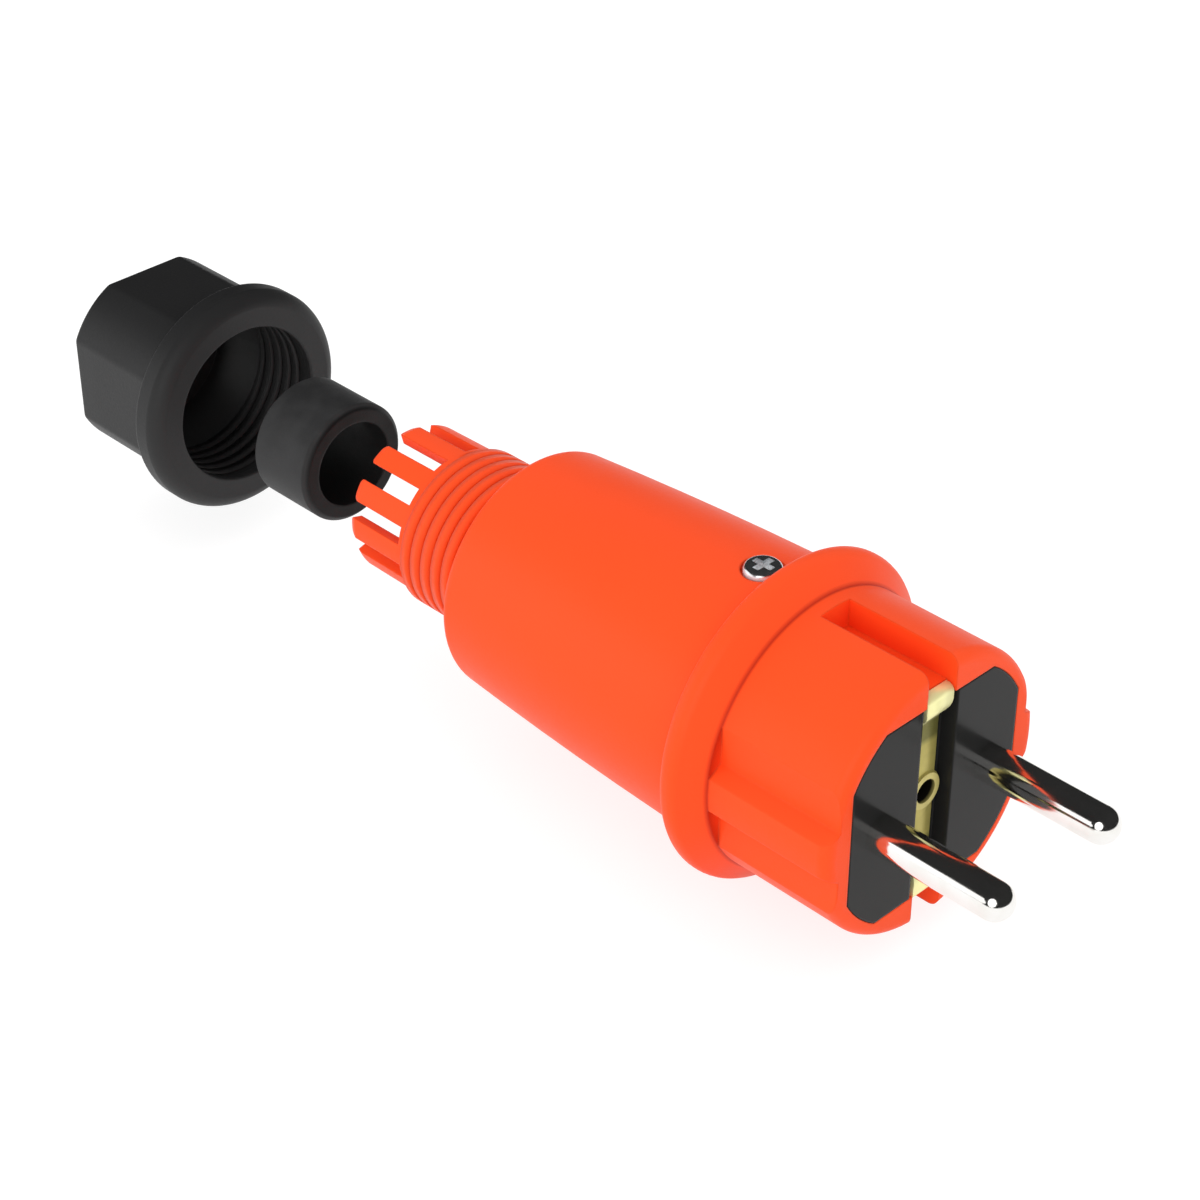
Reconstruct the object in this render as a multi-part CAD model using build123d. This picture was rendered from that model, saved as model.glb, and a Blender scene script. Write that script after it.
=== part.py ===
from build123d import *
import os

# Rewirable grounded plug, with its gland seal and gland nut drawn off behind it.
# Millimetres. The origin is the centre of the face that meets the socket, +X runs along the pins,
# +Y runs from the neutral pin to the live pin, and +Z is up, on the side of the housing screw.

# Contact pins and the terminal blocks behind them
pin_radius = 2.4
pin_root_step = 0.5
pin_root_gap = 0.05
pin_length = 19.0
pin_spacing = 19.0
terminal_width = 7.2
terminal_height = 8.0
terminal_length = 12.0
terminal_gap = 0.2
wire_hole_radius = 1.7
wire_hole_depth = 9.0

# Screws
terminal_screw_radius = 1.45
terminal_head_radius = 2.4
terminal_head_height = 2.0
terminal_slot_width = 0.8
terminal_slot_depth = 0.9
housing_screw_radius = 1.5
housing_head_radius = 2.4
housing_head_height = 1.6
housing_head_round = 0.7
housing_screw_end = 1.55
cross_slot_width = 0.9
cross_slot_length = 2.9
cross_slot_depth = 0.9
screw_gap = 0.1
square_nut_width = 5.5
square_nut_height = 2.4

# Contact carrier
carrier_radius = 16.4
carrier_side_wall = 1.1
carrier_depth = 19.9
carrier_plate = 6.0
carrier_seat_gap = 0.1
groove_gap = 0.8
lug_width = 8.4
lug_height = 8.0
lug_tail = 4.0

# Earth strap and its rivet
strap_width = 3.3
strap_thickness = 0.8
strap_recess = 1.5
strap_eye_radius = 2.6
strap_ramp_length = 3.0
strap_edge_inset = 0.9
strap_front_inset = 0.1
strap_bend = 0.6
strap_leg_gap = 0.2
strap_leg_length = 1.25
strap_taper_length = 2.6
rivet_head_radius = 2.4
rivet_head_height = 0.3
rivet_tube_radius = 1.85
rivet_bore_radius = 1.6
rivet_gap = 0.05
rivet_side_gap = 1.15
earth_plate = 1.2
earth_plate_margin = 1.0
earth_block_height = 6.0
earth_screw_cover = 1.95

# Housing front that enters the socket
shroud_wall = 1.95
shroud_length = 18.3
rim_round = 1.5
side_wall = 1.8
side_rib_top = 4.4
side_rib_foot = 7.0
channel_width = 5.0
channel_length = 16.2
channel_wall = 0.95
notch_length = 1.5

# Flange and grip
flange_height = 3.15
flange_slope_run = 2.4
flange_slope_rise = 2.65
flange_crest_run = 1.1
flange_band = 0.4
flange_rear_round = 1.4
grip_length = 43.0
grip_taper = 1.95
grip_swell = 0.25
grip_edge_round = 1.6
grip_wall = 2.3
grip_rear_wall = 2.6
chamber_ledge = 1.2
chamber_rear_slope = 3.0
screw_behind_flange = 3.8
screw_recess_gap = 0.35
screw_recess_depth = 1.1

# Gland: seal, clamp fingers and nut
seal_radius = 8.6
seal_bore_radius = 6.1
seal_length = 11.2
seal_edge = 0.7
seal_gap = 0.3
seal_ledge = 1.3
seal_apart = 11.5
neck_length = 14.4
finger_wall = 1.7
finger_length = 9.7
finger_count = 12
finger_slot = 2.45
finger_taper = 0.1
finger_nose_length = 0.9
finger_nose_drop = 0.4
finger_corner_round = 0.7
thread_height = 0.7
thread_gap = 0.45
nut_wall = 1.0
nut_length = 22.8
nut_apart = 11.5
nut_flat_depth = 1.4
nut_corner_round = 1.5
nut_rear_round = 0.8
nut_lip = 2.2
nut_lip_width = 4.6
nut_lip_front = 2.0
nut_lip_front_radius = 2.6
nut_lip_rear_round = 0.5
nut_mouth_gap = 0.1
nut_mouth_depth = 1.2
nut_mouth_edge = 0.2
nut_thread_depth = 12.0
nut_cavity_depth = 20.2
nut_cone_gap = 0.4
nut_cable_gap = 0.9

# Length by which cutting shapes stand clear of the faces they pass through, and reach of a search for edges
cut_over = 1.0
edge_search = 0.01

# Radii that follow from the fits
earth_block_top = -rivet_head_radius - rivet_side_gap
earth_block_low = earth_block_top - earth_block_height
carrier_half_height = earth_screw_cover + terminal_head_height - earth_block_low
carrier_half_width = pin_spacing / 2 + terminal_width / 2 + terminal_gap + carrier_side_wall
shroud_radius = carrier_radius + carrier_seat_gap + shroud_wall
side_flat = carrier_half_width + carrier_seat_gap + side_wall
channel_floor = carrier_half_height + carrier_seat_gap + channel_wall
flange_radius = shroud_radius + flange_height
grip_rear_radius = shroud_radius - grip_taper
seal_seat_radius = seal_radius + seal_gap
cable_bore_radius = seal_seat_radius - seal_ledge
neck_radius = seal_seat_radius + finger_wall
nut_mouth_radius = neck_radius + thread_height + nut_mouth_gap
nut_bore_radius = neck_radius + thread_height + thread_gap
nut_apothem = nut_bore_radius + nut_wall
nut_body_radius = nut_apothem + nut_flat_depth
nut_lip_radius = nut_body_radius + nut_lip
nut_cable_radius = seal_bore_radius + nut_cable_gap
strap_leg_width = channel_width - 2 * strap_leg_gap
groove_width = strap_leg_width + 2 * groove_gap

# Stations along the axis, from the face to the rear
flange_station = -shroud_length
slope_end = flange_station - flange_slope_run
crest_front = slope_end - flange_crest_run
crest_rear = crest_front - flange_band
grip_station = crest_rear - flange_rear_round
shoulder_station = grip_station - grip_length
slot_root = shoulder_station - neck_length
finger_tip = slot_root - finger_length
pocket_end = -carrier_depth - carrier_seat_gap
seal_stop = finger_tip + seal_length
seal_front = finger_tip - seal_apart
seal_rear = seal_front - seal_length
nut_front = seal_rear - nut_apart
nut_rear = nut_front - nut_length
screw_station = grip_station - screw_behind_flange
terminal_rear = -carrier_plate - terminal_length
terminal_screw_station = -carrier_plate - terminal_length / 2
screw_seat = shroud_radius - screw_recess_depth
lug_top = carrier_half_height - 4 * carrier_seat_gap
strap_floor = strap_recess + strap_thickness
strap_ramp_end = carrier_half_height - strap_edge_inset


def block(low, high):
    """Box between its lowest and highest corners."""
    size = [b - a for a, b in zip(low, high)]
    middle = [(a + b) / 2 for a, b in zip(low, high)]
    return Pos(*middle) * Box(*size)


def rod_x(start, end, radius, y=0.0, z=0.0):
    """Round bar along the plug's axis between two stations."""
    return Pos((start + end) / 2, y, z) * Rot(0, 90, 0) * Cylinder(radius, abs(end - start))


def rod_z(low, high, radius, x=0.0, y=0.0):
    """Upright round bar."""
    return Pos(x, y, (low + high) / 2) * Cylinder(radius, high - low)


def turned(profile):
    """Solid of revolution about the plug's axis from a closed profile of stations and radii."""
    return revolve(make_face(profile), axis=Axis.X)


def carrier_outline(grow):
    """Front view of the carrier: a circle cut flat at the top, the bottom and both sides."""
    flats = Rectangle(2 * (carrier_half_width + grow), 2 * (carrier_half_height + grow))
    return Plane.YZ * (Circle(carrier_radius + grow) & flats)


def housing_blank():
    """Outside of the housing, turned solid: front, flange, grip, neck and the sleeve of the fingers."""
    grip_middle = (grip_station + shoulder_station) / 2
    grip_middle_radius = (shroud_radius + grip_rear_radius) / 2 + grip_swell
    sleeve_radius = neck_radius - finger_taper
    nose = finger_tip + finger_nose_length
    profile = Polyline((finger_tip, 0), (0, 0), (0, shroud_radius - rim_round))
    profile += TangentArc((0, shroud_radius - rim_round), (-rim_round, shroud_radius), tangent=(0, 1))
    profile += Line((-rim_round, shroud_radius), (flange_station, shroud_radius))
    slope = (-flange_slope_run, flange_slope_rise)
    slope_top = (slope_end, shroud_radius + flange_slope_rise)
    profile += Line((flange_station, shroud_radius), slope_top)
    profile += TangentArc(slope_top, (crest_front, flange_radius), tangent=slope)
    profile += Line((crest_front, flange_radius), (crest_rear, flange_radius))
    profile += TangentArc(
        (crest_rear, flange_radius), (grip_station, flange_radius - flange_rear_round), tangent=(-1, 0)
    )
    profile += Line((grip_station, flange_radius - flange_rear_round), (grip_station, shroud_radius))
    profile += ThreePointArc(
        (grip_station, shroud_radius),
        (grip_middle, grip_middle_radius),
        (shoulder_station + grip_edge_round, grip_rear_radius),
    )
    profile += TangentArc(
        (shoulder_station + grip_edge_round, grip_rear_radius),
        (shoulder_station, grip_rear_radius - grip_edge_round),
        tangent=(-1, 0),
    )
    profile += Polyline(
        (shoulder_station, grip_rear_radius - grip_edge_round),
        (shoulder_station, neck_radius),
        (slot_root, neck_radius),
        (nose, sleeve_radius),
        (finger_tip, sleeve_radius - finger_nose_drop),
        (finger_tip, 0),
    )
    return turned(profile)


def wiring_chamber():
    """Space behind the carrier, no wider than the pocket before it, with the cable bore and seal seat."""
    rear = shoulder_station + grip_rear_wall
    chamber_radius = carrier_radius - chamber_ledge
    rear_radius = grip_rear_radius - grip_wall
    half_width = carrier_half_width - carrier_seat_gap
    half_height = lug_top + carrier_seat_gap
    space = turned(
        Polyline(
            (pocket_end, 0),
            (pocket_end, chamber_radius),
            (rear + chamber_rear_slope, rear_radius),
            (rear, cable_bore_radius),
            (rear, 0),
            close=True,
        )
    )
    space &= block((rear, -half_width, -half_height), (pocket_end, half_width, half_height))
    space += rod_x(seal_stop, rear + chamber_rear_slope, cable_bore_radius)
    space += rod_x(finger_tip - cut_over, seal_stop, seal_seat_radius)
    return space


def side_recess():
    """Flat either side of the guide rib, on one side of the front."""
    outer = flange_radius
    section = make_face(
        Polyline(
            (side_flat, side_rib_foot / 2),
            (side_flat, shroud_radius),
            (outer, shroud_radius),
            (outer, 0),
            (shroud_radius, side_rib_top / 2),
            close=True,
        )
    )
    upper = extrude(Plane.YZ * section, amount=flange_station)
    return upper + mirror(upper, about=Plane.XY)


def housing():
    """One-piece orange housing, open at the front for the carrier and at the rear for the cable."""
    body = housing_blank()
    body -= extrude(carrier_outline(carrier_seat_gap), amount=pocket_end)
    body -= wiring_chamber()
    recess = side_recess()
    body -= recess + mirror(recess, about=Plane.XZ)
    half = channel_width / 2
    pocket_top = carrier_half_height
    channel = block((-channel_length, -half, channel_floor), (cut_over, half, flange_radius))
    channel += block((-notch_length, -half, pocket_top), (cut_over, half, flange_radius))
    body -= channel + mirror(channel, about=Plane.XY)
    slot_angle = 360 / finger_count
    for index in range(finger_count):
        low = (finger_tip - cut_over, 0, -finger_slot / 2)
        slot = block(low, (slot_root, neck_radius + cut_over, finger_slot / 2))
        body -= Rot((index + 0.5) * slot_angle, 0, 0) * slot
    straight = body.edges().filter_by(GeomType.LINE)
    corners = straight.filter_by_position(Axis.X, finger_tip - edge_search, finger_tip + edge_search)
    body = fillet(corners, finger_corner_round)
    recess_radius = housing_head_radius + screw_recess_gap
    body -= rod_z(screw_seat, flange_radius, recess_radius, x=screw_station)
    body -= rod_z(0, flange_radius, housing_screw_radius + screw_gap, x=screw_station)
    return body


def contact_carrier():
    """Insert with the pin holes, the strap's groove, the terminal chambers and the screw's lug."""
    body = extrude(carrier_outline(0), amount=-carrier_depth)
    tall = 2 * carrier_radius
    body -= block((-strap_floor, -groove_width / 2, -tall), (cut_over, groove_width / 2, tall))
    body -= rod_x(-carrier_depth, cut_over, rivet_tube_radius + rivet_gap)
    half_width = terminal_width / 2 + terminal_gap
    half_height = terminal_height / 2 + terminal_gap
    access_radius = terminal_head_radius + 2 * terminal_gap
    for y in (-pin_spacing / 2, pin_spacing / 2):
        body -= rod_x(-carrier_plate - cut_over, cut_over, pin_radius - pin_root_step + pin_root_gap, y=y)
        low = (-carrier_depth - cut_over, y - half_width, -half_height)
        body -= block(low, (-carrier_plate, y + half_width, half_height))
        body -= rod_z(0, tall, access_radius, x=terminal_screw_station, y=y)
    earth_low = earth_block_low - terminal_gap
    earth_high = rivet_head_radius + earth_plate_margin + terminal_gap
    low = (-carrier_depth - cut_over, -half_width, earth_low)
    body -= block(low, (-carrier_plate, half_width, earth_high))
    body -= rod_z(-tall, earth_low + cut_over, access_radius, x=terminal_screw_station)
    body += screw_lug()
    return body


def screw_lug():
    """Arm behind the carrier that takes the housing screw and its captive nut."""
    tail = screw_station - lug_tail
    low = lug_top - lug_height
    lug = block((tail, -lug_width / 2, low), (-carrier_depth, lug_width / 2, lug_top))
    lug -= rod_z(low - cut_over, lug_top + cut_over, housing_screw_radius + screw_gap, x=screw_station)
    half = square_nut_width / 2 + screw_gap
    floor, roof = nut_levels()
    low_corner = (tail - cut_over, -half, floor - screw_gap)
    lug -= block(low_corner, (screw_station + half, half, roof + screw_gap))
    return lug


def nut_levels():
    """Bottom and top of the captive nut, in the middle of the lug."""
    middle = lug_top - lug_height / 2
    return middle - square_nut_height / 2, middle + square_nut_height / 2


def contact_pin(y):
    """Round pin with a hemispherical tip and a wire terminal behind the carrier's plate."""
    tip = pin_length - pin_radius
    root = pin_radius - pin_root_step
    profile = Polyline(
        (pin_length, 0),
        (-carrier_plate, 0),
        (-carrier_plate, root),
        (0, root),
        (0, pin_radius),
        (tip, pin_radius),
    )
    profile += TangentArc((tip, pin_radius), (pin_length, 0), tangent=(1, 0))
    pin = turned(profile)
    half_width = terminal_width / 2
    half_height = terminal_height / 2
    pin += block((terminal_rear, -half_width, -half_height), (-carrier_plate, half_width, half_height))
    pin -= rod_x(terminal_rear - cut_over, terminal_rear + wire_hole_depth, wire_hole_radius)
    pin -= rod_z(0, half_height + cut_over, terminal_screw_radius + screw_gap, x=terminal_screw_station)
    return Pos(0, y, 0) * pin


def terminal_screw():
    """Slotted screw, standing on its head's seat at the origin with the shank below."""
    shank_length = terminal_height / 2 - wire_hole_radius / 2
    screw = rod_z(-shank_length, 0, terminal_screw_radius)
    screw += rod_z(0, terminal_head_height, terminal_head_radius)
    long = 2 * terminal_head_radius
    half = terminal_slot_width / 2
    slot_floor = terminal_head_height - terminal_slot_depth
    screw -= block((-long, -half, slot_floor), (long, half, terminal_head_height + cut_over))
    return screw


def strap_half():
    """Upper half of the earth strap: flat in the groove, then forward and wider, folded back on top."""
    middle = -strap_recess - strap_thickness / 2
    front = -strap_front_inset - strap_thickness / 2
    leg = channel_floor - strap_thickness / 2
    leg_end = -strap_front_inset - strap_leg_length
    ramp_start = strap_ramp_end - strap_ramp_length
    half_way = ((middle + front) / 2, (ramp_start + strap_ramp_end) / 2)
    path = Line((middle, 0), (middle, ramp_start))
    path += TangentArc((middle, ramp_start), half_way, tangent=(0, 1))
    path += TangentArc((front, strap_ramp_end), half_way, tangent=(0, -1))
    path += Line((front, strap_ramp_end), (front, leg - strap_bend))
    path += TangentArc((front, leg - strap_bend), (front - strap_bend, leg), tangent=(0, 1))
    path += Line((front - strap_bend, leg), (leg_end, leg))
    section = Plane.XZ * trace(path, line_width=strap_thickness)
    half_narrow = strap_width / 2
    half_wide = strap_leg_width / 2
    reach = 2 * channel_floor
    right_side = Polyline(
        (0, 0),
        (half_narrow, 0),
        (half_narrow, strap_ramp_end - strap_taper_length),
        (half_wide, strap_ramp_end),
        (half_wide, reach),
        (0, reach),
        close=True,
    )
    plan = extrude(Plane.YZ * make_face(right_side), amount=reach, both=True)
    return extrude(section, amount=half_wide, both=True) & (plan + mirror(plan, about=Plane.XZ))


def earth_strap():
    """Brass strap from the top fold to the bottom fold, with a round eye for the rivet."""
    upper = strap_half()
    strap = upper + mirror(upper, about=Plane.XY)
    strap += rod_x(-strap_floor, -strap_recess, strap_eye_radius)
    return strap - rod_x(-strap_floor - cut_over, 0, rivet_tube_radius + rivet_gap)


def strap_rivet():
    """Hollow rivet through the strap, the carrier's plate and the earth terminal."""
    rear = -carrier_plate - earth_plate
    rivet = rod_x(rear, -strap_recess, rivet_tube_radius)
    rivet += rod_x(-strap_recess, -strap_recess + rivet_head_height, rivet_head_radius)
    rivet += rod_x(rear - rivet_head_height, rear, rivet_head_radius)
    return rivet - rod_x(rear - cut_over, 0, rivet_bore_radius)


def earth_terminal():
    """Bracket behind the carrier's plate with a clamp block below the rivet."""
    half = terminal_width / 2
    plate_rear = -carrier_plate - earth_plate
    plate_top = rivet_head_radius + earth_plate_margin
    terminal = block((plate_rear, -half, earth_block_low), (-carrier_plate, half, plate_top))
    terminal += block((terminal_rear, -half, earth_block_low), (plate_rear, half, earth_block_top))
    terminal -= rod_x(plate_rear - cut_over, 0, rivet_tube_radius + rivet_gap)
    middle = (earth_block_low + earth_block_top) / 2
    terminal -= rod_x(terminal_rear - cut_over, terminal_rear + wire_hole_depth, wire_hole_radius, z=middle)
    hole_radius = terminal_screw_radius + screw_gap
    terminal -= rod_z(earth_block_low - cut_over, middle, hole_radius, x=terminal_screw_station)
    return terminal


def housing_screw():
    """Cross-head screw that holds the carrier in the housing."""
    shank_end = nut_levels()[0] - housing_screw_end
    screw = rod_z(shank_end, screw_seat, housing_screw_radius)
    head_top = screw_seat + housing_head_height
    head = rod_z(screw_seat, head_top, housing_head_radius)
    screw += fillet(head.edges().group_by(Axis.Z)[-1], housing_head_round)
    half_long = cross_slot_length / 2
    half_wide = cross_slot_width / 2
    floor = head_top - cross_slot_depth
    screw -= block((-half_long, -half_wide, floor), (half_long, half_wide, head_top + cut_over))
    screw -= block((-half_wide, -half_long, floor), (half_wide, half_long, head_top + cut_over))
    return Pos(screw_station, 0, 0) * screw


def screw_nut():
    """Square nut for the housing screw."""
    floor, roof = nut_levels()
    half = square_nut_width / 2
    nut = block((screw_station - half, -half, floor), (screw_station + half, half, roof))
    return nut - rod_z(floor - cut_over, roof + cut_over, housing_screw_radius + screw_gap, x=screw_station)


def gland_seal():
    """Rubber ring that is squeezed on the cable."""
    ring = rod_x(seal_rear, seal_front, seal_radius)
    ring -= rod_x(seal_rear - cut_over, seal_front + cut_over, seal_bore_radius)
    return chamfer(ring.edges().filter_by(GeomType.CIRCLE).group_by(SortBy.RADIUS)[-1], seal_edge)


def nut_cavity():
    """Inside of the gland nut: mouth, thread bore, squeezing cone and cable hole."""
    floor = nut_front - nut_cavity_depth
    cone_end = neck_radius - finger_taper - finger_nose_drop + nut_cone_gap
    thread_start = nut_front - nut_mouth_depth
    return turned(
        Polyline(
            (nut_front + cut_over, 0),
            (nut_front + cut_over, nut_mouth_radius + nut_mouth_edge + cut_over),
            (nut_front - nut_mouth_edge, nut_mouth_radius),
            (thread_start, nut_mouth_radius),
            (thread_start - nut_bore_radius + nut_mouth_radius, nut_bore_radius),
            (nut_front - nut_thread_depth, nut_bore_radius),
            (floor, cone_end),
            (floor, nut_cable_radius),
            (nut_rear - cut_over, nut_cable_radius),
            (nut_rear - cut_over, 0),
            close=True,
        )
    )


def gland_nut():
    """Cap nut: round lip in front, and behind it a round body with four flats and a rounded rear edge."""
    lip_rear = nut_front - nut_lip_width
    facing_rear = Plane(origin=(nut_front - nut_lip_width / 2, 0, 0), x_dir=(0, 1, 0), z_dir=(-1, 0, 0))
    outline = Circle(nut_body_radius) & Rectangle(2 * nut_apothem, 2 * nut_apothem)
    body = extrude(facing_rear * outline, amount=nut_length - nut_lip_width / 2)
    body = fillet(body.edges().filter_by(Axis.X), nut_corner_round)
    body = fillet(body.faces().sort_by(Axis.X)[0].edges(), nut_rear_round)
    face_edge = (nut_front, nut_lip_radius - nut_lip_front)
    crown = (nut_front - nut_lip_front, nut_lip_radius)
    profile = Polyline(crown, (lip_rear, nut_lip_radius), (lip_rear, 0), (nut_front, 0), face_edge)
    profile += RadiusArc(face_edge, crown, -nut_lip_front_radius)
    lip = turned(profile)
    lip = fillet(lip.edges().sort_by(Axis.X)[0], nut_lip_rear_round)
    return body + lip - nut_cavity()


pin_offset = pin_spacing / 2
top_seat = Pos(terminal_screw_station, 0, terminal_height / 2)
bottom_seat = Pos(terminal_screw_station, 0, earth_block_low) * Rot(180, 0, 0)
parts = {
    "housing": housing(),
    "contact_carrier": contact_carrier(),
    "live_pin": contact_pin(pin_offset),
    "neutral_pin": contact_pin(-pin_offset),
    "live_terminal_screw": Pos(0, pin_offset, 0) * top_seat * terminal_screw(),
    "neutral_terminal_screw": Pos(0, -pin_offset, 0) * top_seat * terminal_screw(),
    "earth_strap": earth_strap(),
    "strap_rivet": strap_rivet(),
    "earth_terminal": earth_terminal(),
    "earth_terminal_screw": bottom_seat * terminal_screw(),
    "housing_screw": housing_screw(),
    "screw_nut": screw_nut(),
    "gland_seal": gland_seal(),
    "gland_nut": gland_nut(),
}

os.makedirs("parts", exist_ok=True)
for name, solid in parts.items():
    export_step(solid, f"parts/{name}.step")
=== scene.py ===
import math

import bpy
from bpy.props import FloatProperty, FloatVectorProperty, IntProperty, PointerProperty
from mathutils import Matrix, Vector


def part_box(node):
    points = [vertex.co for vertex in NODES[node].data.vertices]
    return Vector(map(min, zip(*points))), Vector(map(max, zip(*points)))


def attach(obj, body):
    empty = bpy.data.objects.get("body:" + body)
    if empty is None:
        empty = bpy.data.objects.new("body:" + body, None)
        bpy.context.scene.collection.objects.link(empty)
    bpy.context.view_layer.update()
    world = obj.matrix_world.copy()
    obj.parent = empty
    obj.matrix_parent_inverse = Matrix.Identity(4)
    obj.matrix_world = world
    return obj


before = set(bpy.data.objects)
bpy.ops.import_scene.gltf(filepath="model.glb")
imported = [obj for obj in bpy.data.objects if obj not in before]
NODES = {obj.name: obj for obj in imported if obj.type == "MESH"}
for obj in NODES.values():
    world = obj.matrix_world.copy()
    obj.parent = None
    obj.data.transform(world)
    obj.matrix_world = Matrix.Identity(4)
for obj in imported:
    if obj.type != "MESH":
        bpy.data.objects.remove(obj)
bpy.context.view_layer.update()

bl_info = {
    "name": "Grounded plug",
    "version": (1, 0, 0),
    "blender": (4, 5, 0),
    "location": "3D View > Sidebar > Plug",
    "description": "Finishes, gland threads and studio for a rewirable grounded plug",
    "category": "Object",
}

MM = 0.001
FLANGE_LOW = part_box("housing")[0].z
SCREW_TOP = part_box("housing_screw")[1].z
SEAL_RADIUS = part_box("gland_seal")[1].z
NUT_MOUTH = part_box("gland_nut")[1].x

# Painted shade line in the crease where the flange meets the round front of the housing
CREASE_STATION = -18.3 * MM
CREASE_WIDTH = 0.4 * MM
CREASE_INSIDE = 16.5 * MM
CREASE_FADE = 2.0 * MM
CREASE_SHADE_TINT = (0.55, 0.3, 0.25)

# Earth strap: heights where the painted shade on its ramps and the painted highlight on its folds begin,
# and its crowned section
STRAP_RAMP = 6.7 * MM
STRAP_FOLD = 9.8 * MM
STRAP_FADE = 0.9 * MM
STRAP_HALF_WIDTH = 1.65 * MM
STRAP_CROWN = 0.4 * MM

# Painted shade inside the hollow rivet
RIVET_BORE = 1.7 * MM
RIVET_WALL_FADE = 0.1 * MM
RIVET_MOUTH = -1.2 * MM
RIVET_MOUTH_FADE = 0.5 * MM

# Depths at which the seal's painted end shade and the screw's recess begin, and how soon they are reached
SEAL_END = 0.25 * MM
SCREW_RECESS = 0.25 * MM
END_FADE = 0.3 * MM

# Edge rounding, and the way in which a metal was drawn
PLASTIC_EDGE = 0.35 * MM
RUBBER_EDGE = 0.45 * MM
DRAWN_ALONG_X = (40.0, 1.0, 1.0)
DRAWN_ALONG_Z = (1.0, 1.0, 40.0)

# Light of the sky near the horizon, more of it overhead and more from beyond the live pin
SKY_LOW = 0.78
SKY_HIGH = 0.38
SKY_BEYOND = 0.4
SKY_TURN = 0.7

# Floor: its paper as it lights the plug, and its dimmer paper and glow as seen
FLOOR_REACH = 4.0
PAPER = (0.9, 0.9, 0.9, 1.0)
PAPER_SEEN = (0.36, 0.36, 0.36, 1.0)
PAPER_GLOW = (0.76, 0.76, 0.76, 1.0)

# Place that the lamps point at
LAMP_AIM = Vector((-60.0, 0.0, 0.0)) * MM

# Camera: its place, the way from the plug to it, its lens and sensor in millimetres, and its nearest view
CAMERA_PLACE = Vector((156.63, -207.76, 201.99)) * MM
CAMERA_BACK = Vector((0.58965, -0.58010, 0.56195))
CAMERA_LENS = 85.44
CAMERA_SENSOR = 36.0
CAMERA_NEAR = 10.0 * MM


class Field:
    """A node's output that takes part in sums: each step adds one Math node to its tree."""

    def __init__(self, graph, socket):
        self.graph = graph
        self.socket = socket

    def maths(self, operation, *values):
        return self.graph.add("ShaderNodeMath", {"operation": operation}, dict(enumerate(values)))

    def __add__(self, other):
        return self.maths("ADD", self, other)

    def __radd__(self, other):
        return self.maths("ADD", other, self)

    def __sub__(self, other):
        return self.maths("SUBTRACT", self, other)

    def __rsub__(self, other):
        return self.maths("SUBTRACT", other, self)

    def __mul__(self, other):
        return self.maths("MULTIPLY", self, other)

    def __rmul__(self, other):
        return self.maths("MULTIPLY", other, self)

    def __truediv__(self, other):
        return self.maths("DIVIDE", self, other)

    def __rtruediv__(self, other):
        return self.maths("DIVIDE", other, self)

    def size(self):
        return self.maths("ABSOLUTE", self)

    def root(self):
        return self.maths("SQRT", self)

    def least(self, other):
        return self.maths("MINIMUM", self, other)

    def most(self, other):
        return self.maths("MAXIMUM", self, other)

    def clip(self):
        return self.most(0.0).least(1.0)


class Graph:
    """A node tree, with one way of adding nodes to it."""

    def __init__(self, tree):
        self.tree = tree

    def add(self, kind, settings=None, values=None, output=0):
        """Adds a node, sets it up, fills its inputs by index or identifier, and gives one output."""
        node = self.tree.nodes.new(kind)
        for name, value in (settings or {}).items():
            if name == "stops":
                self._stops(node.color_ramp, value)
            else:
                setattr(node, name, value)
        for key, value in (values or {}).items():
            socket = self._socket(node.inputs, key)
            if isinstance(value, Field):
                self.tree.links.new(value.socket, socket)
            else:
                socket.default_value = value
        return Field(self, self._socket(node.outputs, output)) if node.outputs else node

    @staticmethod
    def _socket(sockets, key):
        if isinstance(key, int):
            return sockets[key]
        return next(socket for socket in sockets if socket.identifier == key)

    @staticmethod
    def _stops(ramp, stops):
        while len(ramp.elements) < len(stops):
            ramp.elements.new(1.0)
        for element, (place, level) in zip(ramp.elements, stops):
            element.position = place
            element.color = (level, level, level, 1.0)


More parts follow.
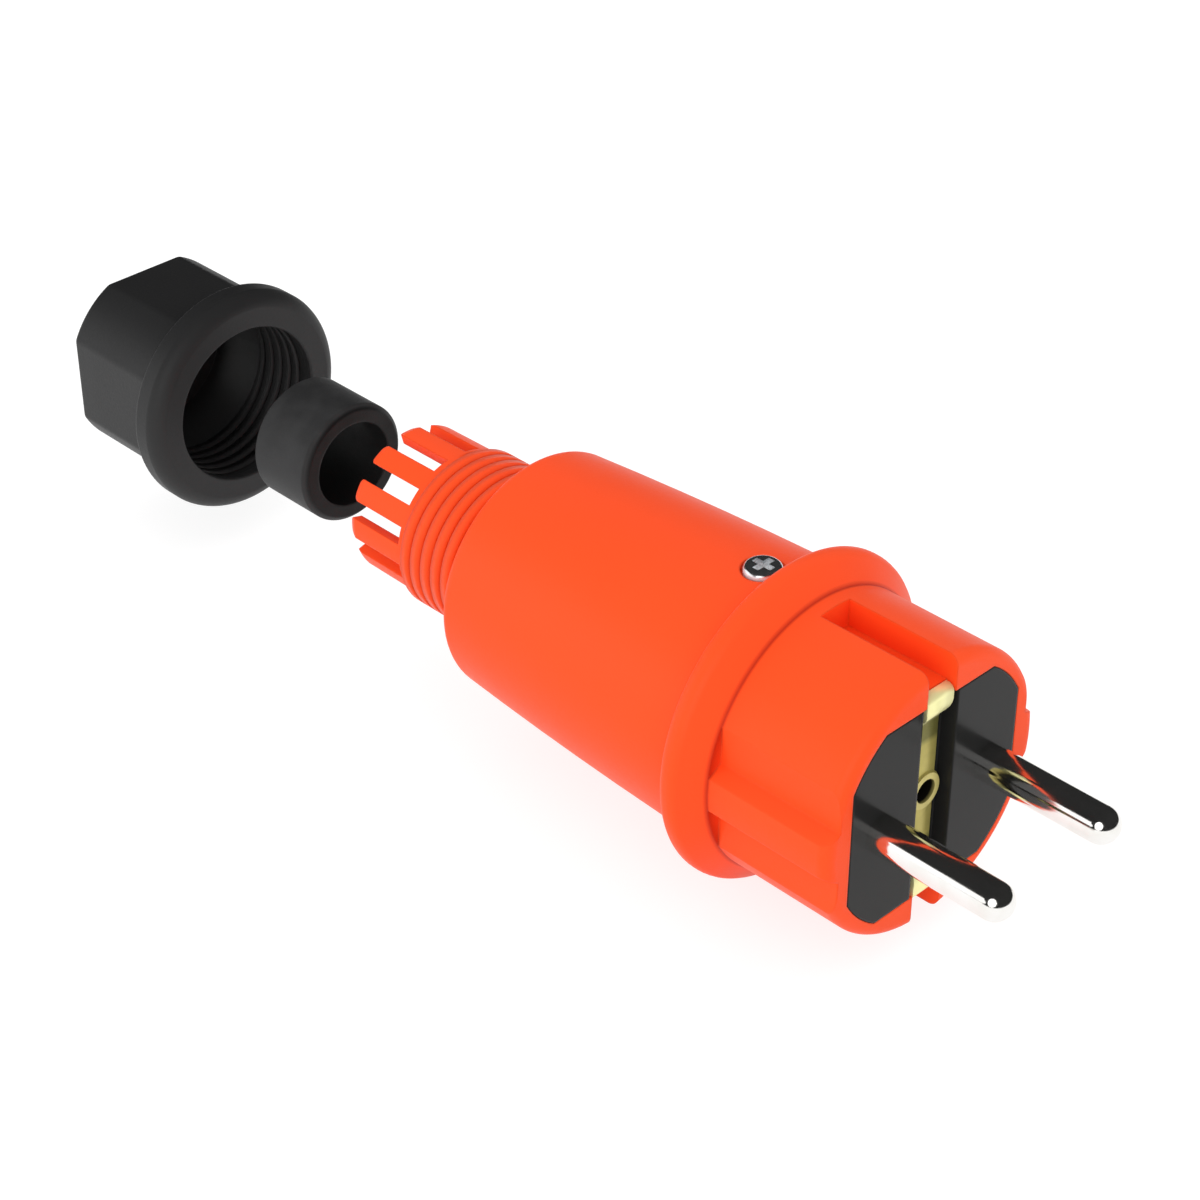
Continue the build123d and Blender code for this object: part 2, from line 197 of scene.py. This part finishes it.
class Finish(Graph):
    """A material on Object coordinates that ends in one Principled shader."""

    def __init__(self, name):
        self.material = bpy.data.materials.new(name)
        self.material.use_nodes = True
        super().__init__(self.material.node_tree)
        self.tree.nodes.clear()
        self.place = self.add("ShaderNodeTexCoord", output="Object")

    def noise(self, size, detail=2.0, stretch=None, rough=0.5):
        """Noise from 0 to 1 whose features are about size across; stretch lengthens them along an axis."""
        place = self.place
        if stretch:
            scale = tuple(1.0 / s for s in stretch)
            place = self.add("ShaderNodeMapping", None, {"Vector": place, "Scale": scale})
        values = {"Vector": place, "Scale": 1.0 / size, "Detail": detail, "Roughness": rough}
        return self.add("ShaderNodeTexNoise", None, values, "Fac")

    def along(self, axis):
        """Distance along X, Y or Z in Object coordinates."""
        return self.add("ShaderNodeSeparateXYZ", None, {"Vector": self.place}, axis)

    def radius(self):
        """Distance from the plug's axis."""
        y, z = self.along("Y"), self.along("Z")
        return (y * y + z * z).root()

    def ramp(self, value, *stops):
        """Grey level over a value."""
        return self.add("ShaderNodeValToRGB", {"stops": stops}, {"Fac": value})

    def blend(self, factor, first, second):
        """Colour between two colours."""
        values = {"Factor_Float": factor, "A_Color": first, "B_Color": second}
        return self.add("ShaderNodeMix", {"data_type": "RGBA"}, values, "Result_Color")

    def rounded(self, radius):
        """Normal of a surface whose edges are rounded by a radius."""
        return self.add("ShaderNodeBevel", {"samples": 6}, {"Radius": radius})

    def bump(self, height, depth, under=None):
        """Normal of a surface that a height from 0 to 1 lifts by depth, over the normal under it."""
        values = {"Height": height, "Distance": depth}
        if under:
            values["Normal"] = under
        return self.add("ShaderNodeBump", None, values)

    def close(self, values):
        """Ends the tree with a Principled shader and gives the material."""
        shader = self.add("ShaderNodeBsdfPrincipled", None, values)
        self.add("ShaderNodeOutputMaterial", None, {"Surface": shader})
        return self.material


def shade(colour, level=1.0):
    """A colour made lighter or darker, with full alpha."""
    return tuple(min(1.0, part * level) for part in colour[:3]) + (1.0,)


class Plastic(Finish):
    """Moulded plastic with faint flow clouds in its colour and a spark-eroded grain."""

    FLOW_SIZE = 12.0 * MM
    FLOW_GLOSS = 0.12
    GRAIN_GLOSS = 0.16
    SHEEN_SPREAD = 0.4

    def __init__(self, name, colour, mottle, grain):
        super().__init__(name)
        self.flow = self.noise(self.FLOW_SIZE, 3.0)
        self.grain = self.noise(grain, 3.0, rough=0.6)
        self.base = self.blend(self.flow, shade(colour, 1.0 - mottle), shade(colour, 1.0 + mottle))

    def moulded(self, roughness, depth, specular, sheen=0.0):
        """The material, with its edges rounded and its grain cut to a depth."""
        wear = (self.flow - 0.5) * self.FLOW_GLOSS + (self.grain - 0.5) * self.GRAIN_GLOSS
        return self.close({
            "Base Color": self.base,
            "Roughness": roughness + wear,
            "Specular IOR Level": specular,
            "Sheen Weight": sheen,
            "Sheen Roughness": self.SHEEN_SPREAD,
            "Normal": self.bump(self.grain, depth, self.rounded(PLASTIC_EDGE)),
        })


class Metal(Finish):
    """Bare or plated metal with fine drawing lines along one way and a faint tarnish."""

    LINE_SIZE = 0.3 * MM
    LINE_DEPTH = 0.004 * MM
    LINE_GLOSS = 0.08
    TARNISH_SIZE = 3.0 * MM
    TARNISH_GLOSS = 0.05

    def __init__(self, name, colour, tarnished, drawn_along):
        super().__init__(name)
        self.lines = self.noise(self.LINE_SIZE, 2.0, drawn_along)
        self.tarnish = self.ramp(self.noise(self.TARNISH_SIZE, 3.0), (0.4, 0.0), (0.8, 1.0))
        self.base = self.blend(self.tarnish, shade(colour), shade(tarnished))

    def drawn(self, roughness, metallic=1.0, under=None):
        """The material, with its lines over the normal under them."""
        wear = (self.lines - 0.5) * self.LINE_GLOSS + self.tarnish * self.TARNISH_GLOSS
        return self.close({
            "Base Color": self.base,
            "Metallic": metallic,
            "Roughness": roughness + wear,
            "Normal": self.bump(self.lines, self.LINE_DEPTH, under),
        })


def housing_orange(colours):
    """Orange plastic with a painted shade line in the crease at the root of the flange."""
    finish = Plastic("housing_orange", colours.housing, mottle=0.025, grain=0.35 * MM)
    # Painted shade: a dark line along the crease at the flange's root
    near = (1.0 - (finish.along("X") - CREASE_STATION).size() / CREASE_WIDTH).most(0.0)
    outside = ((finish.radius() - CREASE_INSIDE) / CREASE_FADE).clip()
    crease_shade = tuple(part * tint for part, tint in zip(colours.housing, CREASE_SHADE_TINT))
    finish.base = finish.blend(near * outside, finish.base, shade(crease_shade))
    return finish.moulded(roughness=0.45, depth=0.018 * MM, specular=0.13, sheen=0.04)


def carrier_grey(colours):
    """Smooth dark grey plastic of the contact carrier."""
    finish = Plastic("carrier_grey", colours.carrier, mottle=0.08, grain=0.6 * MM)
    return finish.moulded(roughness=0.2, depth=0.003 * MM, specular=0.1)


def nut_black(colours):
    """Grained charcoal plastic of the gland nut."""
    finish = Plastic("nut_black", colours.nut, mottle=0.06, grain=0.4 * MM)
    return finish.moulded(roughness=0.5, depth=0.02 * MM, specular=0.3)


def seal_rubber(colours):
    """Matt rubber with a faint bloom on its outside, and painted shade on its ends and in its bore."""
    finish = Finish("seal_rubber")
    bloom = finish.ramp(finish.noise(4.0 * MM, 4.0), (0.35, 0.0), (0.75, 1.0))
    fine = finish.noise(0.22 * MM, 2.0)
    # Painted shade on the seal's ends and in its bore
    end_and_bore_shade = ((SEAL_RADIUS - SEAL_END - finish.radius()) / END_FADE).clip()
    side = finish.blend(bloom, shade(colours.seal, 1.3), shade(colours.seal, 2.0))
    return finish.close({
        "Base Color": finish.blend(end_and_bore_shade, side, shade(colours.seal, 0.35)),
        "Roughness": 0.5 + bloom * 0.14 + (fine - 0.5) * 0.1,
        "Specular IOR Level": 0.22,
        "Normal": finish.bump(fine, 0.02 * MM, finish.rounded(RUBBER_EDGE)),
    })


def pin_nickel(colours):
    """Bright nickel plating, drawn along the pins."""
    return Metal("pin_nickel", colours.nickel, colours.pin_tarnish, DRAWN_ALONG_X).drawn(roughness=0.09)


def strap_brass(colours):
    """Brass of the crowned earth strap, with painted shade on its ramps and a painted highlight on its
    folds.
    """
    finish = Metal("strap_brass", colours.brass, shade(colours.brass, 0.8), DRAWN_ALONG_Z)
    height = finish.along("Z").size()
    # Painted shade on the ramps and a painted highlight on the folds, by height
    for start, colour in ((STRAP_RAMP, colours.strap_ramp_shade), (STRAP_FOLD, colours.strap_fold_highlight)):
        finish.base = finish.blend(((height - start) / STRAP_FADE).clip(), finish.base, shade(colour))
    across = finish.along("Y") / STRAP_HALF_WIDTH
    crown = finish.bump(1.0 - across * across, STRAP_CROWN)
    return finish.drawn(roughness=0.4, metallic=0.4, under=crown)


def rivet_brass(colours):
    """Paler brass of the hollow rivet, with painted shade in its bore."""
    finish = Metal("rivet_brass", colours.rivet, shade(colours.rivet, 0.8), DRAWN_ALONG_Z)
    # Painted shade inside the rivet's bore
    inside = ((RIVET_BORE - finish.radius()) / RIVET_WALL_FADE).clip()
    deep = ((RIVET_MOUTH - finish.along("X")) / RIVET_MOUTH_FADE).clip()
    finish.base = finish.blend(inside * deep, finish.base, shade(colours.rivet_bore_shade))
    return finish.drawn(roughness=0.4, metallic=0.4)


def screw_steel(colours):
    """Zinc-plated steel, bright on the screw's head and paler in the recess below the head's top."""
    finish = Finish("screw_steel")
    cloud = finish.ramp(finish.noise(1.2 * MM, 3.0), (0.35, 0.0), (0.8, 1.0))
    fine = finish.noise(0.2 * MM, 2.0)
    deep = ((SCREW_TOP - SCREW_RECESS - finish.along("Z")) / END_FADE).clip()
    return finish.close({
        "Base Color": finish.blend(cloud, shade(colours.steel), shade(colours.steel, 0.8)),
        "Metallic": 1.0 - 0.75 * deep,
        "Roughness": 0.18 + cloud * 0.08 + (fine - 0.5) * 0.06,
        "Normal": finish.bump(fine, 0.004 * MM),
    })


def finish_nodes(material, *names):
    """Puts a material on CAD nodes through their slots."""
    for name in names:
        for slot in NODES[name].material_slots:
            slot.material = material


def add_piece(name, mesh, body, material):
    """A finished mesh as a piece that rides on a body."""
    piece = bpy.data.objects.new(name, mesh)
    bpy.context.scene.collection.objects.link(piece)
    mesh.materials.clear()
    mesh.materials.append(material)
    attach(piece, body)
    return piece


THREAD_INPUTS = {
    "Turns": "NodeSocketFloat",
    "Pitch": "NodeSocketFloat",
    "Radius": "NodeSocketFloat",
    "Height": "NodeSocketFloat",
    "Foot Width": "NodeSocketFloat",
    "Crest Width": "NodeSocketFloat",
    "Start": "NodeSocketFloat",
    "Run Out": "NodeSocketFloat",
    "Steps": "NodeSocketInt",
    "Finish": "NodeSocketMaterial",
}
THREAD_END = 0.02


def thread_tree():
    """Geometry Nodes tree of a helical ridge along X, tapered off at both ends to a share of its size."""
    tree = bpy.data.node_groups.new("helical_ridge", "GeometryNodeTree")
    graph = Graph(tree)
    for name, kind in THREAD_INPUTS.items():
        tree.interface.new_socket(name, in_out="INPUT", socket_type=kind)
    tree.interface.new_socket("Geometry", in_out="OUTPUT", socket_type="NodeSocketGeometry")
    entry = tree.nodes.new("NodeGroupInput")
    given = {name: Field(graph, entry.outputs[name]) for name in THREAD_INPUTS}
    path = graph.add("GeometryNodeCurveSpiral", None, {
        "Resolution": given["Steps"], "Rotations": given["Turns"], "Start Radius": given["Radius"],
        "End Radius": given["Radius"], "Height": given["Turns"] * given["Pitch"],
    })
    path = graph.add("GeometryNodeSetCurveNormal", {"mode": "Z_UP"}, {"Curve": path})
    section = graph.add("GeometryNodeCurvePrimitiveQuadrilateral", {"mode": "TRAPEZOID"}, {
        "Bottom Width": given["Foot Width"], "Top Width": given["Crest Width"],
        "Height": given["Height"], "Offset": 0.0,
    })
    section = graph.add("GeometryNodeTransform", None, {
        "Geometry": section, "Rotation": (0.0, 0.0, -math.pi / 2),
    })
    along = graph.add("GeometryNodeSplineParameter", output="Factor")
    share = given["Run Out"] / given["Turns"]
    fade = (along / share).least((1.0 - along) / share).least(1.0).most(THREAD_END)
    ridge = graph.add("GeometryNodeCurveToMesh", None, {
        "Curve": path, "Profile Curve": section, "Scale": fade, "Fill Caps": True,
    })
    offset = graph.add("ShaderNodeCombineXYZ", None, {"X": given["Start"]})
    ridge = graph.add("GeometryNodeTransform", None, {
        "Geometry": ridge, "Translation": offset, "Rotation": (0.0, -math.pi / 2, 0.0),
    })
    ridge = graph.add("GeometryNodeRealizeInstances", None, {"Geometry": ridge})
    ridge = graph.add("GeometryNodeSetMaterial", None, {"Geometry": ridge, "Material": given["Finish"]})
    graph.add("NodeGroupOutput", None, {0: ridge})
    return tree


def thread_mesh(name, values):
    """Plain mesh of a helical ridge, from the Geometry Nodes tree with these input values."""
    tree = bpy.data.node_groups.get("helical_ridge") or thread_tree()
    sockets = {socket.name: socket.identifier for socket in tree.interface.items_tree}
    holder = bpy.data.objects.new(name + "_maker", bpy.data.meshes.new(name + "_maker"))
    bpy.context.scene.collection.objects.link(holder)
    modifier = holder.modifiers.new("thread", "NODES")
    modifier.node_group = tree
    for socket, value in values.items():
        modifier[sockets[socket]] = value
    graph = bpy.context.evaluated_depsgraph_get()
    mesh = bpy.data.meshes.new_from_object(holder.evaluated_get(graph))
    bpy.data.objects.remove(holder)
    if not mesh.polygons:
        raise RuntimeError(f"{name}: the thread tree gave no faces")
    mesh.name = name
    return mesh


class PlugColours(bpy.types.PropertyGroup):
    """Colours of the plug's finishes."""

    housing: FloatVectorProperty(
        name="Housing", description="Orange of the housing", subtype="COLOR",
        default=(0.97, 0.078, 0.012))
    nut: FloatVectorProperty(
        name="Gland nut", description="Charcoal of the gland nut", subtype="COLOR",
        default=(0.017, 0.017, 0.0174))
    seal: FloatVectorProperty(
        name="Seal", description="Black of the rubber seal", subtype="COLOR",
        default=(0.018, 0.018, 0.0184))
    carrier: FloatVectorProperty(
        name="Carrier", description="Grey of the contact carrier", subtype="COLOR",
        default=(0.019, 0.019, 0.0186))
    nickel: FloatVectorProperty(
        name="Nickel", description="Plating of the pins", subtype="COLOR",
        default=(0.86, 0.85, 0.83))
    pin_tarnish: FloatVectorProperty(
        name="Pin tarnish", description="Plating of the pins where it has tarnished", subtype="COLOR",
        default=(0.8, 0.78, 0.74))
    brass: FloatVectorProperty(
        name="Brass", description="Brass of the earth strap", subtype="COLOR",
        default=(0.56, 0.48, 0.13))
    # Colour of the painted shade on the strap's ramps
    strap_ramp_shade: FloatVectorProperty(
        name="Strap ramps", description="Dull brass where the strap leaves its groove", subtype="COLOR",
        default=(0.2, 0.185, 0.045))
    # Colour of the painted highlight on the strap's folds
    strap_fold_highlight: FloatVectorProperty(
        name="Strap folds", description="Bright brass where the strap's folds are worn", subtype="COLOR",
        default=(1.0, 0.96, 0.48))
    rivet: FloatVectorProperty(
        name="Rivet", description="Paler brass of the strap's rivet", subtype="COLOR",
        default=(0.64, 0.55, 0.18))
    # Colour of the painted shade inside the rivet's bore
    rivet_bore_shade: FloatVectorProperty(
        name="Rivet bore", description="Dark inside of the hollow rivet", subtype="COLOR",
        default=(0.01, 0.008, 0.005))
    steel: FloatVectorProperty(
        name="Steel", description="Zinc plating of the screws", subtype="COLOR",
        default=(0.84, 0.86, 0.88))


class PlugThreads(bpy.types.PropertyGroup):
    """Sizes of the gland thread."""

    pitch: FloatProperty(
        name="Pitch", description="Distance from one ridge to the next", unit="LENGTH",
        default=1.93 * MM)
    wide: FloatProperty(
        name="Wide side", description="Share of the pitch that a ridge takes where it is widest",
        subtype="FACTOR", default=0.9)
    narrow: FloatProperty(
        name="Narrow side", description="Share of the pitch that a ridge takes where it is narrowest",
        subtype="FACTOR", default=0.2)
    run_out: FloatProperty(
        name="Run-out", description="Share of a turn over which a ridge fades at each end",
        subtype="FACTOR", default=0.4)
    neck_turns: FloatProperty(
        name="Neck turns", description="Turns of the ridge on the neck", default=7.0)
    neck_start: FloatProperty(
        name="Neck start", description="Station where the ridge on the neck starts", unit="LENGTH",
        default=-66.9 * MM)
    neck_radius: FloatProperty(
        name="Neck radius", description="Radius of the plain neck under the thread", unit="LENGTH",
        default=10.6 * MM)
    neck_height: FloatProperty(
        name="Neck ridge", description="Height of the ridge on the neck", unit="LENGTH",
        default=0.7 * MM)
    nut_turns: FloatProperty(
        name="Nut turns", description="Turns of the ridge in the nut", default=5.0)
    nut_start: FloatProperty(
        name="Nut start", description="Depth inside the nut's mouth where its ridge starts", unit="LENGTH",
        default=2.2 * MM)
    nut_radius: FloatProperty(
        name="Nut radius", description="Radius of the nut's plain bore", unit="LENGTH",
        default=11.75 * MM)
    nut_height: FloatProperty(
        name="Nut ridge", description="Height of the ridge in the nut", unit="LENGTH",
        default=0.35 * MM)
    steps: IntProperty(
        name="Steps", description="Points in each turn of a thread", default=96)


class PlugStudio(bpy.types.PropertyGroup):
    """Studio around the plug."""

    floor_gap: FloatProperty(
        name="Floor gap", description="Space between the flange and the floor", unit="LENGTH",
        default=0.1 * MM)
    sky: FloatProperty(
        name="Sky", description="Strength of the even light", subtype="FACTOR", default=0.85)
    shine: FloatProperty(
        name="Shine", description="Brightness of the sky in reflections", subtype="FACTOR", default=0.02)
    key: FloatProperty(
        name="Key lamp", description="Power of the round lamp beside the pins", unit="POWER",
        default=1.6)
    fill: FloatProperty(
        name="Fill lamp", description="Power of the low wide lamp beside the nut", unit="POWER",
        default=1.0)


class PLUG_OT_housing(bpy.types.Operator):
    """Gives the housing its orange plastic and adds the ridge of the gland thread on its neck"""

    bl_idname = "plug.housing"
    bl_label = "Housing"

    def execute(self, context):
        threads = context.scene.plug_threads
        orange = housing_orange(context.scene.plug_colours)
        finish_nodes(orange, "housing")
        mesh = thread_mesh("neck_thread", {
            "Turns": threads.neck_turns, "Pitch": threads.pitch, "Radius": threads.neck_radius,
            "Height": 2 * threads.neck_height, "Foot Width": threads.wide * threads.pitch,
            "Crest Width": threads.narrow * threads.pitch, "Start": threads.neck_start,
            "Run Out": threads.run_out, "Steps": threads.steps, "Finish": orange,
        })
        add_piece("neck_thread", mesh, "plug", orange)
        return {"FINISHED"}


class PLUG_OT_contacts(bpy.types.Operator):
    """Gives the carrier, the pins, the earth strap, its rivet and the earth terminal their finishes"""

    bl_idname = "plug.contacts"
    bl_label = "Contacts"

    def execute(self, context):
        colours = context.scene.plug_colours
        finish_nodes(carrier_grey(colours), "contact_carrier")
        finish_nodes(pin_nickel(colours), "live_pin", "neutral_pin")
        finish_nodes(strap_brass(colours), "earth_strap", "earth_terminal")
        finish_nodes(rivet_brass(colours), "strap_rivet")
        return {"FINISHED"}


class PLUG_OT_screws(bpy.types.Operator):
    """Gives the screws and the square nut their plating"""

    bl_idname = "plug.screws"
    bl_label = "Screws"

    def execute(self, context):
        finish_nodes(
            screw_steel(context.scene.plug_colours), "housing_screw", "screw_nut", "live_terminal_screw",
            "neutral_terminal_screw", "earth_terminal_screw")
        return {"FINISHED"}


class PLUG_OT_gland(bpy.types.Operator):
    """Gives the seal and the nut their finishes and adds the ridge of the thread inside the nut"""

    bl_idname = "plug.gland"
    bl_label = "Gland"

    def execute(self, context):
        threads = context.scene.plug_threads
        colours = context.scene.plug_colours
        finish_nodes(seal_rubber(colours), "gland_seal")
        charcoal = nut_black(colours)
        finish_nodes(charcoal, "gland_nut")
        mesh = thread_mesh("nut_thread", {
            "Turns": threads.nut_turns, "Pitch": threads.pitch, "Radius": threads.nut_radius,
            "Height": 2 * threads.nut_height, "Foot Width": threads.narrow * threads.pitch,
            "Crest Width": threads.wide * threads.pitch, "Start": NUT_MOUTH - threads.nut_start,
            "Run Out": threads.run_out, "Steps": threads.steps, "Finish": charcoal,
        })
        add_piece("nut_thread", mesh, "nut", charcoal)
        return {"FINISHED"}


class PLUG_OT_studio(bpy.types.Operator):
    """Makes the floor, the light and the camera"""

    bl_idname = "plug.studio"
    bl_label = "Studio"

    def execute(self, context):
        studio = context.scene.plug_studio
        self.make_floor(context, studio)
        self.make_sky(context, studio)
        self.make_lamps(context, studio)
        self.make_camera(context)
        context.scene.view_settings.view_transform = "Standard"
        return {"FINISHED"}

    @staticmethod
    def make_floor(context, studio):
        """Paper floor just under the flange, pale where it is seen and in reflections."""
        level = FLANGE_LOW - studio.floor_gap
        sides = ((-1, -1), (1, -1), (1, 1), (-1, 1))
        corners = [(x * FLOOR_REACH, y * FLOOR_REACH, level) for x, y in sides]
        mesh = bpy.data.meshes.new("floor")
        mesh.from_pydata(corners, [], [(0, 1, 2, 3)])
        floor = bpy.data.objects.new("floor", mesh)
        context.scene.collection.objects.link(floor)
        paper = bpy.data.materials.new("studio_paper")
        paper.use_nodes = True
        graph = Graph(paper.node_tree)
        graph.tree.nodes.clear()
        seen = graph.add("ShaderNodeLightPath", output="Is Camera Ray")
        seen = seen.most(graph.add("ShaderNodeLightPath", output="Is Glossy Ray"))
        plain = graph.add("ShaderNodeBsdfDiffuse", None, {"Color": PAPER})
        pale = graph.add("ShaderNodeBsdfDiffuse", None, {"Color": PAPER_SEEN})
        glow = graph.add("ShaderNodeEmission", None, {"Color": PAPER_GLOW})
        bright = graph.add("ShaderNodeAddShader", None, {0: pale, 1: glow})
        paper_shader = graph.add("ShaderNodeMixShader", None, {0: seen, 1: plain, 2: bright})
        graph.add("ShaderNodeOutputMaterial", None, {"Surface": paper_shader})
        mesh.materials.append(paper)

    @staticmethod
    def make_sky(context, studio):
        """Soft sky that is white where it is seen and dark in reflections."""
        world = bpy.data.worlds.new("studio_sky")
        world.use_nodes = True
        context.scene.world = world
        graph = Graph(world.node_tree)
        graph.tree.nodes.clear()
        seen = graph.add("ShaderNodeLightPath", output="Is Camera Ray")
        shiny = graph.add("ShaderNodeLightPath", output="Is Glossy Ray")
        way = graph.add("ShaderNodeTexCoord", output="Generated")
        x, y, z = (graph.add("ShaderNodeSeparateXYZ", None, {"Vector": way}, axis) for axis in "XYZ")
        beyond = (SKY_TURN * x + SKY_TURN * y).most(0.0)
        soft = studio.sky * (SKY_LOW + SKY_HIGH * z.most(0.0) + SKY_BEYOND * beyond)
        level = soft + seen * (1.0 - soft) + shiny * (studio.shine - soft)
        sky = graph.add("ShaderNodeBackground", None, {"Color": level})
        graph.add("ShaderNodeOutputWorld", None, {"Surface": sky})

    @staticmethod
    def make_lamps(context, studio):
        """Two soft lamps on the near side of the plug."""
        for name, energy, width, height, place in (
            ("key_lamp", studio.key, 0.6, 0.6, (0.25, -0.62, 0.3)),
            ("fill_lamp", studio.fill, 0.9, 0.36, (-0.5, -0.5, 0.15)),
        ):
            lamp = bpy.data.lights.new(name, "AREA")
            lamp.energy = energy
            lamp.shape = "ELLIPSE"
            lamp.size = width
            lamp.size_y = height
            holder = bpy.data.objects.new(name, lamp)
            context.scene.collection.objects.link(holder)
            holder.location = place
            aim = LAMP_AIM - holder.location
            holder.rotation_euler = aim.to_track_quat("-Z", "Y").to_euler()

    @staticmethod
    def make_camera(context):
        """Camera above the near pin, looking back along the plug."""
        data = bpy.data.cameras.new("camera")
        data.sensor_fit = "HORIZONTAL"
        data.sensor_width = CAMERA_SENSOR
        data.lens = CAMERA_LENS
        data.clip_start = CAMERA_NEAR
        camera = bpy.data.objects.new("camera", data)
        context.scene.collection.objects.link(camera)
        camera.location = CAMERA_PLACE
        camera.rotation_euler = (-CAMERA_BACK).to_track_quat("-Z", "Y").to_euler()
        context.scene.camera = camera


OPERATORS = (PLUG_OT_housing, PLUG_OT_contacts, PLUG_OT_screws, PLUG_OT_gland, PLUG_OT_studio)
SETTINGS = {"plug_colours": PlugColours, "plug_threads": PlugThreads, "plug_studio": PlugStudio}


class PLUG_PT_sidebar(bpy.types.Panel):
    """Lists the plug's steps and settings"""

    bl_label = "Plug"
    bl_idname = "PLUG_PT_sidebar"
    bl_space_type = "VIEW_3D"
    bl_region_type = "UI"
    bl_category = "Plug"

    def draw(self, context):
        for operator in OPERATORS:
            self.layout.operator(operator.bl_idname)
        for attribute in SETTINGS:
            group = getattr(context.scene, attribute)
            for name in group.bl_rna.properties.keys():
                if name not in ("rna_type", "name"):
                    self.layout.prop(group, name)


def register():
    for attribute, group in SETTINGS.items():
        bpy.utils.register_class(group)
        setattr(bpy.types.Scene, attribute, PointerProperty(type=group))
    for operator in OPERATORS:
        bpy.utils.register_class(operator)
    bpy.utils.register_class(PLUG_PT_sidebar)


def unregister():
    bpy.utils.unregister_class(PLUG_PT_sidebar)
    for operator in reversed(OPERATORS):
        bpy.utils.unregister_class(operator)
    for attribute, group in SETTINGS.items():
        delattr(bpy.types.Scene, attribute)
        bpy.utils.unregister_class(group)


def main():
    register()
    bpy.ops.plug.housing()
    bpy.ops.plug.contacts()
    bpy.ops.plug.screws()
    bpy.ops.plug.gland()
    bpy.ops.plug.studio()


if __name__ == "__main__":
    main()
